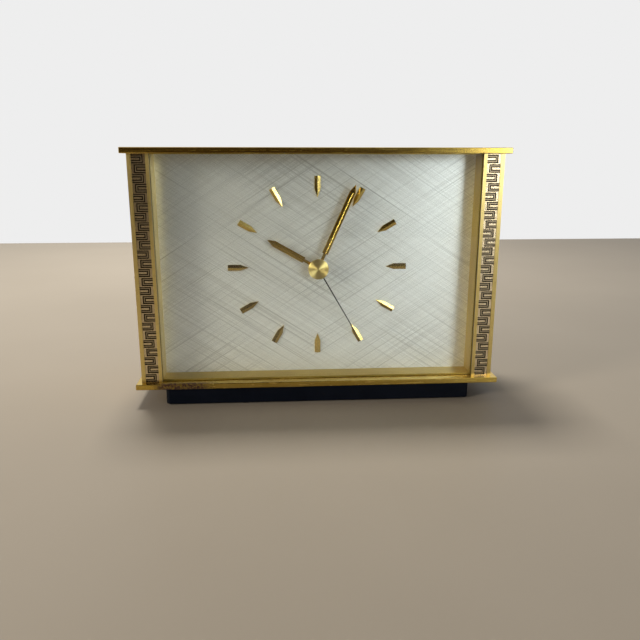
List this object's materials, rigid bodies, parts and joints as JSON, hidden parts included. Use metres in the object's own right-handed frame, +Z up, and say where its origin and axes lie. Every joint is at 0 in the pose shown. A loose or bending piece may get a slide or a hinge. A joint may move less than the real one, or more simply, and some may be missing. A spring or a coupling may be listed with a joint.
{
  "type": "table clock",
  "caption": "Brass table clock: glazed cross-brushed dial between Greek-key columns, baton hands and markers, dark plinth, battery movement with a sprung balance.",
  "frame": {"origin": "on the table, under the middle of the brass plates", "axes": "+X right as seen from the front, +Y to the back, +Z up; the dial faces -Y"},
  "size_m": [0.18, 0.06, 0.1237],
  "materials": {
    "felt": "short pile",
    "plinth_lacquer": "satin lacquer",
    "steel": "turned",
    "brass_plate": "polished",
    "brass_column": "polished",
    "brass_meander": "dark patina, raised faces rubbed bright",
    "brass_panel": "satin",
    "brass_lining": "satin",
    "brass_frame": "turned",
    "glass": "clear",
    "dial_silver": "cross brushed",
    "brass_marker": "polished facets",
    "brass_hand": "polished",
    "black_needle": "black",
    "brass_wheel": "cut and polished",
    "spring_steel": "blued",
    "magnet": "ground",
    "nylon": "moulded",
    "copper_wire": "enamelled",
    "board": "resin paper",
    "tin_can": "pressed",
    "capacitor_sleeve": "sleeved",
    "battery_wrap": "printed can, left plain",
    "black_plastic": "fine grain",
    "contact_brass": "nickelled",
    "lead_black": "insulated wire",
    "lead_red": "insulated wire"
  },
  "bodies": {
    "case": {"felt_pad": "felt", "plinth": "plinth_lacquer", "plinth_screws": "steel", "case_tie_screws": "steel", "case_screws": "steel", "movement_screws": "steel", "door_hinge_pin": "steel", "bottom_plate": "brass_plate", "top_plate": "brass_plate", "right_column": "brass_column", "left_column": "brass_column", "left_meander": "brass_meander", "right_meander": "brass_meander", "right_side_panel": "brass_panel", "left_side_panel": "brass_panel", "right_lining": "brass_lining", "left_lining": "brass_lining", "floor_lining": "brass_lining", "ceiling_lining": "brass_lining", "rear_posts": "brass_frame", "front_movement_plate": "brass_frame", "rear_movement_plate": "brass_frame", "movement_pillars": "brass_frame", "dial_feet": "brass_frame", "balance_cock": "brass_frame", "board_spacers": "brass_frame", "glass": "glass", "dial_plate": "dial_silver", "hour_markers": "brass_marker", "hairspring": "spring_steel", "coil_bobbin": "nylon", "coil_winding": "copper_wire", "circuit_board": "board", "transistor": "tin_can", "capacitor": "capacitor_sleeve", "battery": "battery_wrap", "battery_holder": "black_plastic", "rear_cover": "black_plastic", "positive_contact": "contact_brass", "negative_contact": "contact_brass", "negative_lead": "lead_black", "positive_lead": "lead_red"},
    "seconds": {"seconds_hand": "black_needle", "seconds_cap": "brass_hand", "seconds_wheel": "brass_wheel"},
    "minute": {"minute_hand": "brass_hand", "cannon_pinion": "brass_wheel", "clutch_spring": "spring_steel"},
    "hour": {"hour_hand": "brass_hand", "hour_wheel": "brass_wheel"},
    "setting": {"minute_wheel": "brass_wheel", "set_knob": "black_plastic"},
    "third": {"third_wheel": "brass_wheel"},
    "centre": {"centre_wheel": "brass_wheel"},
    "escape": {"escape_wheel": "brass_wheel"},
    "balance": {"balance_wheel": "brass_wheel", "balance_magnets": "magnet"},
    "regulator": {"regulator_lever": "brass_wheel"},
    "door": {"battery_door": "black_plastic"}
  },
  "joints": [
    {"name": "minute_hand_turn", "type": "hinge", "parent": "case", "child": "minute", "pos_m": [0, 0, 0.0662], "axis": [0, 1, 0], "continuous": true},
    {"name": "hour_hand_turn", "type": "hinge", "parent": "case", "child": "hour", "pos_m": [0, 0, 0.0662], "axis": [0, 1, 0], "continuous": true},
    {"name": "set_knob_turn", "type": "hinge", "parent": "case", "child": "setting", "pos_m": [0.00921, 0, 0.05699], "axis": [0, 1, 0], "continuous": true},
    {"name": "seconds_hand_turn", "type": "hinge", "parent": "case", "child": "seconds", "pos_m": [0, 0, 0.0662], "axis": [0, 1, 0], "continuous": true},
    {"name": "third_wheel_turn", "type": "hinge", "parent": "case", "child": "third", "pos_m": [-0.00865, 0, 0.07485], "axis": [0, 1, 0], "continuous": true},
    {"name": "centre_wheel_turn", "type": "hinge", "parent": "case", "child": "centre", "pos_m": [0, 0, 0.0662], "axis": [0, 1, 0], "continuous": true},
    {"name": "escape_wheel_turn", "type": "hinge", "parent": "case", "child": "escape", "pos_m": [-0.00891, 0, 0.05729], "axis": [0, 1, 0], "continuous": true},
    {"name": "balance_swing", "type": "hinge", "parent": "case", "child": "balance", "pos_m": [-0.01541, 0, 0.05729], "axis": [0, 1, 0], "range_deg": [-135, 135], "stiffness_Nm_per_rad": 0.00004},
    {"name": "regulator_turn", "type": "hinge", "parent": "case", "child": "regulator", "pos_m": [-0.01541, 0, 0.05729], "axis": [0, 1, 0], "range_deg": [-20, 20]},
    {"name": "battery_door_hinge", "type": "hinge", "parent": "case", "child": "door", "pos_m": [0.06661, 0.0249, 0], "axis": [0, 0, -1], "range_deg": [0, 110]}
  ],
  "couplings": [
    {"joint": "hour_hand_turn", "follows": "minute_hand_turn", "ratio": 0.083333},
    {"joint": "set_knob_turn", "follows": "minute_hand_turn", "ratio": -0.33333},
    {"joint": "third_wheel_turn", "follows": "seconds_hand_turn", "ratio": -0.13333},
    {"joint": "centre_wheel_turn", "follows": "seconds_hand_turn", "ratio": 0.016667},
    {"joint": "escape_wheel_turn", "follows": "seconds_hand_turn", "ratio": -6}
  ]
}
